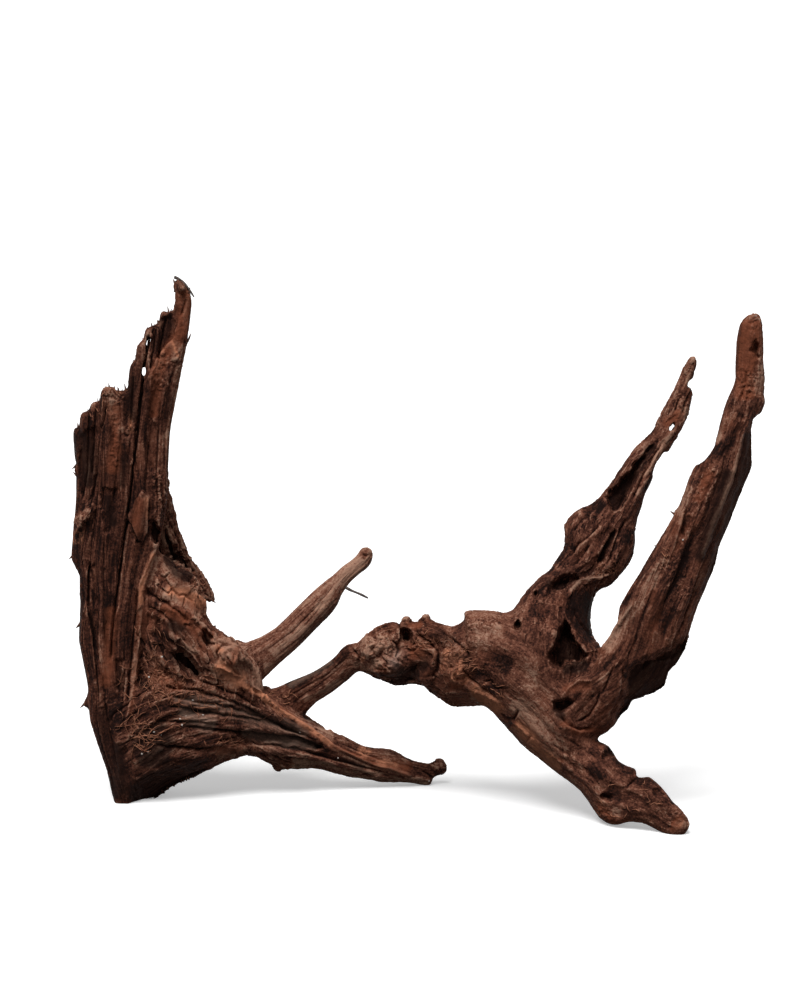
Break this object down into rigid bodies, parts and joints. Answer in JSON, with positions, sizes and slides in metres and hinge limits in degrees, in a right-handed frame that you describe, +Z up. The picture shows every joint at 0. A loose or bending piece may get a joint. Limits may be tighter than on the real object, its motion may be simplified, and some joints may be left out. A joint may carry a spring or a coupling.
{
  "type": "driftwood",
  "caption": "Weathered piece of root driftwood with a split slab, a ribbed fan, side branches, a knotted neck and forked arms, which rests on its base, a branch tip and a foot.",
  "frame": {"origin": "middle of the bounding box, on the surface that the wood rests on", "axes": "+X along the wood from the slab to the forked arms, +Y away from the viewer, through its depth, +Z up"},
  "size_m": [0.4981, 0.1739, 0.386],
  "materials": {
    "dark_wood": "dry weathered red-brown wood, dark in its grooves and tan on worn ridges, dull"
  },
  "bodies": {
    "root": {"driftwood": "dark_wood"}
  },
  "joints": []
}
